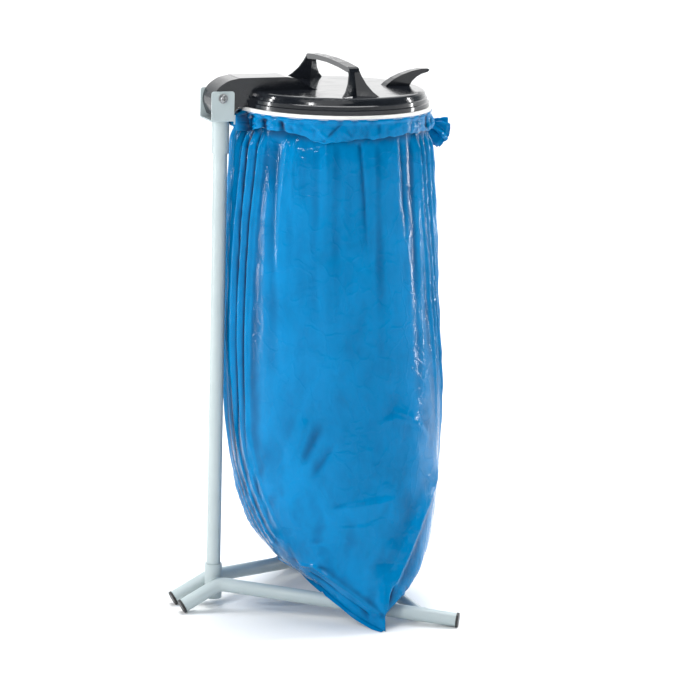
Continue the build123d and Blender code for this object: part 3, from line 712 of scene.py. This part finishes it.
def make_sack():
    phi, body, shade_b = film_body()
    cuff, shade_c = film_cuff(phi)
    P = np.concatenate([cuff, body], axis=0)
    me = grid_mesh("sack_film", P)
    # painted shade and painted highlight of the folds, stored on the film's points for its colour
    att = me.attributes.new("painted_fold_shading", "FLOAT", "POINT")
    att.data.foreach_set("value", np.concatenate([shade_c, shade_b], axis=0).ravel().astype(np.float32))
    o = bpy.data.objects.new("sack_film", me)
    scene.collection.objects.link(o)
    bm = bmesh.new()
    bm.from_mesh(me)
    bm.verts.ensure_lookup_table()
    last = [bm.verts[i] for i in range(P.shape[0] * P.shape[1] - P.shape[1], P.shape[0] * P.shape[1])]
    bmesh.ops.remove_doubles(bm, verts=last, dist=0.0008)
    for extra, wrap in ((film_skirt(phi), False), (film_tail(), True)):
        m2 = grid_mesh("tmp", extra, wrap)
        bm.from_mesh(m2)
        bpy.data.meshes.remove(m2)
    bmesh.ops.dissolve_degenerate(bm, dist=1e-6, edges=bm.edges[:])
    bmesh.ops.recalc_face_normals(bm, faces=bm.faces[:])
    bm.to_mesh(me)
    bm.free()
    for poly in me.polygons:
        poly.use_smooth = True
    me.materials.append(MAT["film_blue"])
    sol = o.modifiers.new("film", "SOLIDIFY")
    sol.thickness = 0.0004
    sol.offset = 0.0
    apply_all(o)
    for poly in o.data.polygons:
        poly.use_smooth = True
    return o


sack = make_sack()
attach(sack, "stand")
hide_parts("sack")


# ---------------------------------------------------------------- weld beads
def bead(bm, pts, outs, r, ripple, closed=True):
    """A rippled bead along points, each with its own outward direction."""
    pts, outs = np.array(pts), np.array(outs)
    n = len(pts)
    along = (np.roll(pts, -1, 0) - np.roll(pts, 1, 0)) if closed else np.gradient(pts, axis=0)
    along /= np.linalg.norm(along, axis=1)[:, None]
    outs = outs - (outs * along).sum(1)[:, None] * along
    outs /= np.linalg.norm(outs, axis=1)[:, None]
    side = np.cross(along, outs)
    rings = []
    for i in range(n):
        rr = r * (1 + 0.13 * math.sin(ripple * 2 * math.pi * i / n) + 0.05 * math.sin(5.3 * i))
        ring = []
        for k in range(10):
            a = 2 * math.pi * k / 10
            q = pts[i] + outs[i] * rr * math.cos(a) + side[i] * rr * math.sin(a)
            ring.append(bm.verts.new((q[0] / 1000 + POST_X, q[1] / 1000, q[2] / 1000)))
        rings.append(ring)
    for i in range(n if closed else n - 1):
        r0, r1 = rings[i], rings[(i + 1) % n]
        for k in range(10):
            bm.faces.new((r0[k], r0[(k + 1) % 10], r1[(k + 1) % 10], r1[k]))
    if not closed:
        bm.faces.new(rings[0])
        bm.faces.new(rings[-1])


def make_welds():
    me = bpy.data.meshes.new("weld_beads")
    bm = bmesh.new()
    t = 0.862
    for side in (-1, 1):
        c = LEG_A * (1, side, 1) * (1 - t) + LEG_B * (1, side, 1) * t
        d = (LEG_B - LEG_A) * (1, side, 1)
        d /= np.linalg.norm(d)
        inward = np.array([d[1] * side, -d[0] * side, 0.0])
        inward /= np.linalg.norm(inward)
        pts, outs = [], []
        for k in range(72):
            a = 2 * math.pi * k / 72
            z, x = 11.6 * math.sin(a), 11.6 * math.cos(a) / math.cos(math.radians(30.4))
            depth = math.sqrt(max(14.0 ** 2 - z * z, 4.0))
            pts.append(c + d * x + np.array([0, 0, z]) + inward * depth)
            outs.append(d * math.cos(a) + np.array([0, 0, math.sin(a)]) + inward * 0.9)
        bead(bm, pts, outs, 1.9, 22)
        pts, outs = [], []
        for k in range(60):
            a = 2 * math.pi * k / 60
            x, z = 10.5 * math.cos(a), 9.5 * math.sin(a)
            y = (17.25 - x * x / 34.5 + 16.3 + z * z / 28.0) / 2 + 0.2
            pts.append(np.array([x, side * y, 53.3 + z]))
            outs.append(np.array([math.cos(a), 0.0, math.sin(a)]))
        bead(bm, pts, outs, 2.3, 18)
        # hoop bar to hoop
        xb = 232.7 - math.sqrt(190.0 ** 2 - 34.5 ** 2)
        for dy in (-2.2, 2.2):
            y = side * (34.5 + dy)
            pts = [np.array([xb + (0.6 if dy * side > 0 else -0.3), y, z]) for z in np.linspace(984, 999, 16)]
            outs = [np.array([-0.7, side * (1 if dy > 0 else -1), 0.0])] * 16
            bead(bm, pts, outs, 1.3, 5, closed=False)
    bmesh.ops.recalc_face_normals(bm, faces=bm.faces[:])
    bm.to_mesh(me)
    bm.free()
    for poly in me.polygons:
        poly.use_smooth = True
    me.materials.append(MAT["powder_coat"])
    o = bpy.data.objects.new("weld_beads", me)
    scene.collection.objects.link(o)
    return o


welds = make_welds()
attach(welds, "stand")


# ---------------------------------------------------------------- camera
yaw, pitch, roll = math.radians(21.022), math.radians(11.921), math.radians(1.435)
F = Vector((math.sin(yaw) * math.cos(pitch), math.cos(yaw) * math.cos(pitch), -math.sin(pitch)))
R = Vector((math.cos(yaw), -math.sin(yaw), 0.0))
U = R.cross(F)
R2 = math.cos(roll) * R + math.sin(roll) * U
U2 = -math.sin(roll) * R + math.cos(roll) * U
cam_data = bpy.data.cameras.new("camera")
cam = bpy.data.objects.new("camera", cam_data)
scene.collection.objects.link(cam)
place = Vector((-2.0607 + POST_X, -6.0980, 1.8913))
cam.matrix_world = Matrix(((R2.x, U2.x, -F.x, place.x), (R2.y, U2.y, -F.y, place.y),
                           (R2.z, U2.z, -F.z, place.z), (0, 0, 0, 1)))
cam_data.sensor_width = 36.0
cam_data.sensor_fit = "HORIZONTAL"
cam_data.lens = 36.0 * 3312.968 / 700.0
cam_data.clip_end = 100.0
scene.camera = cam

# ---------------------------------------------------------------- floor and light
def floor():
    me = bpy.data.meshes.new("studio_floor")
    s = 60.0
    me.from_pydata([(-s, -s, 0), (s, -s, 0), (s, s, 0), (-s, s, 0)], [], [(0, 1, 2, 3)])
    o = bpy.data.objects.new("studio_floor", me)
    scene.collection.objects.link(o)
    m, t, p = new_material("studio_white")
    n = noise_tex(t, coords(t), 0.6, 2.0, 0.5)
    t.links.new(ramp(t, n, [(0.3, (0.90, 0.90, 0.90)), (0.7, (0.92, 0.92, 0.92))]), p.inputs["Base Color"])
    p.inputs["Roughness"].default_value = 0.8
    p.inputs["Specular IOR Level"].default_value = 0.2
    o.data.materials.append(m)
    return o


floor()


def aim(o, way):
    o.rotation_euler = Vector(way).to_track_quat("-Z", "Y").to_euler()


def area_light(name, at, look, size, power, color=(1, 1, 1), size_y=None):
    d = bpy.data.lights.new(name, "AREA")
    d.shape = "RECTANGLE"
    d.size, d.size_y = size, size_y or size
    d.energy = power
    d.color = color
    o = bpy.data.objects.new(name, d)
    scene.collection.objects.link(o)
    o.location = at
    aim(o, Vector(look) - Vector(at))
    return o


def sun(name, way, strength, angle, color=(1, 1, 1)):
    d = bpy.data.lights.new(name, "SUN")
    d.energy = strength
    d.angle = math.radians(angle)
    d.color = color
    o = bpy.data.objects.new(name, d)
    scene.collection.objects.link(o)
    aim(o, way)
    return o


sun("sky_panel", (-0.12, -0.24, -1.0), 3.3, 42.0)
sun("front_fill", (0.45, 0.80, -0.80), 1.05, 60.0)
area_light("left_strip", (-2.9, 0.55, 1.3), (0.0, 0.0, 0.6), 0.12, 46.0, size_y=2.6)
area_light("right_strip", (2.7, -0.1, 1.4), (0.1, 0.0, 0.6), 0.12, 42.0, size_y=2.6)
area_light("front_strip", (-3.1, -3.0, 2.3), (0.0, 0.0, 0.7), 0.10, 46.0, size_y=0.8)

world = bpy.data.worlds.new("studio_world")
scene.world = world
world.use_nodes = True
wt = world.node_tree
bg = wt.nodes.get("Background")
wc = wt.nodes.new("ShaderNodeTexCoord")
dot = wt.nodes.new("ShaderNodeVectorMath")
dot.operation = "DOT_PRODUCT"
wt.links.new(wc.outputs["Generated"], dot.inputs[0])
dot.inputs[1].default_value = (math.sin(yaw), math.cos(yaw), 0.0)
shade = wt.nodes.new("ShaderNodeValToRGB")
shade.color_ramp.elements[0].position = 0.30
shade.color_ramp.elements[0].color = (0.035, 0.045, 0.05, 1)
shade.color_ramp.elements[1].position = 0.97
shade.color_ramp.elements[1].color = (1.0, 1.0, 1.0, 1)
e = shade.color_ramp.elements.new(0.84)
e.color = (0.13, 0.15, 0.16, 1)
mr = wt.nodes.new("ShaderNodeMapRange")
mr.inputs["From Min"].default_value = -1.0
mr.inputs["From Max"].default_value = 1.0
wt.links.new(dot.outputs["Value"], mr.inputs["Value"])
wt.links.new(mr.outputs["Result"], shade.inputs["Fac"])
wt.links.new(shade.outputs["Color"], bg.inputs["Color"])
bg.inputs["Strength"].default_value = 1.7
scene.view_settings.view_transform = "Standard"
scene.view_settings.look = "None"
